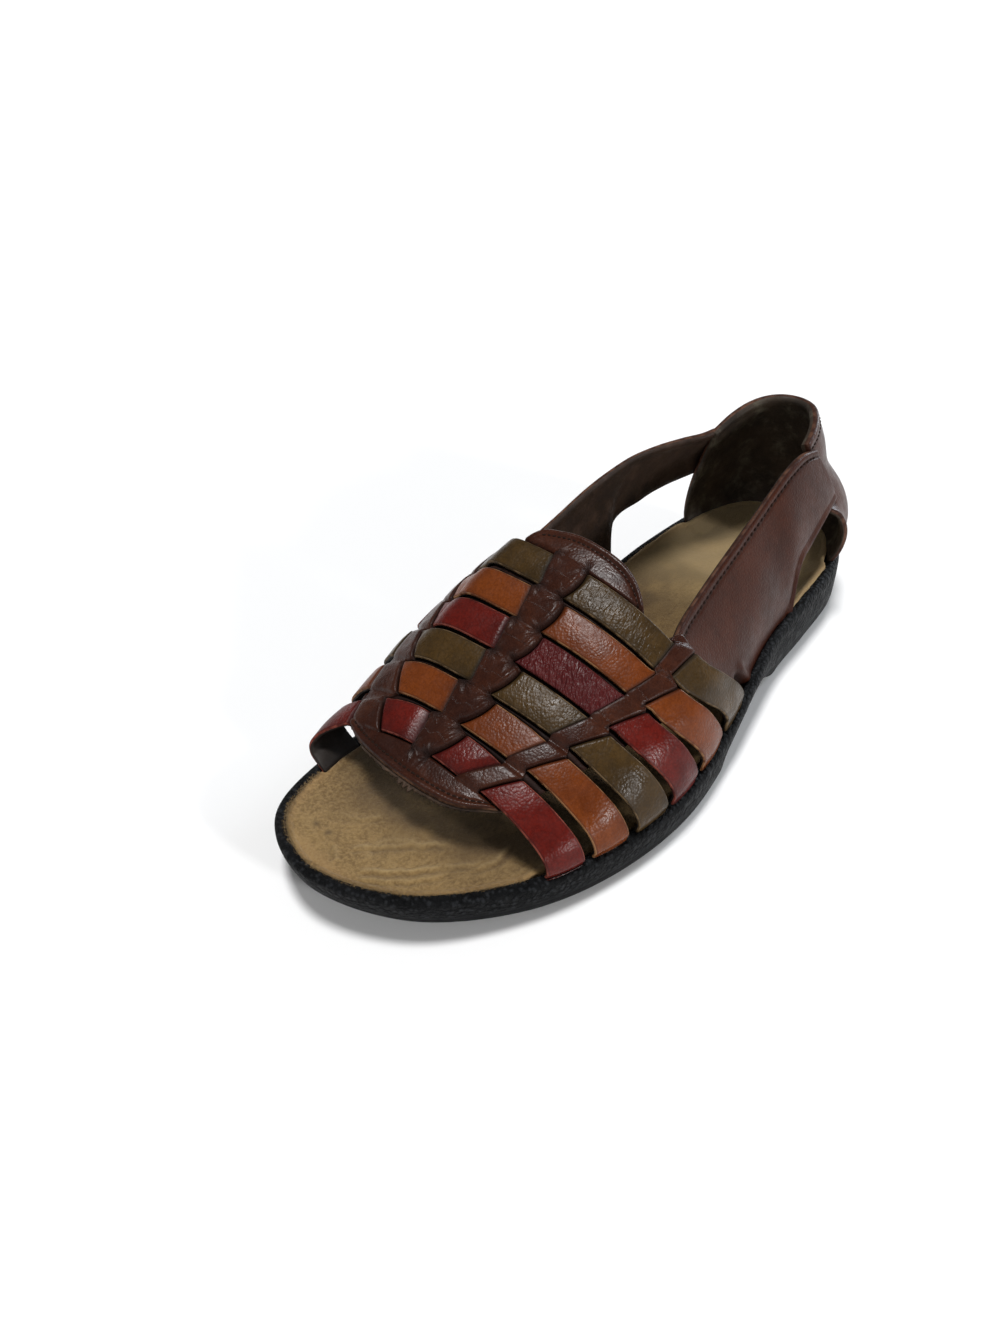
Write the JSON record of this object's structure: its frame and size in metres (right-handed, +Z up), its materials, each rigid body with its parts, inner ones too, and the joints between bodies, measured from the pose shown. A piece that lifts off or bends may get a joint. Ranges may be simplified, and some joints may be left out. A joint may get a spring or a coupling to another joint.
{
  "type": "huarache sandal",
  "caption": "Flat open-toe sandal with a woven leather vamp, side bands, a closed heel counter, a suede footbed and a moulded rubber sole.",
  "frame": {"origin": "on the floor under the middle of the sandal's box", "axes": "+Y runs from the toe to the heel, +X points to the outer (lateral) side of the foot, +Z up"},
  "size_m": [0.1094, 0.2676, 0.0782],
  "materials": {
    "sole_rubber": "black moulded rubber with a fine grained side wall, matte",
    "footbed_suede": "tan napped suede, darkened by wear",
    "brown_leather": "chestnut brown smooth leather, satin, with a fine grain",
    "olive_leather": "olive brown smooth leather, satin",
    "tan_leather": "tan orange smooth leather, satin",
    "red_leather": "dark red smooth leather, satin",
    "lining_leather": "dark grey brown worn lining leather, matte",
    "thread": "dark brown sewing thread"
  },
  "bodies": {
    "root": {"outsole": "sole_rubber", "footbed": "footbed_suede", "upper": "brown_leather"}
  },
  "joints": []
}
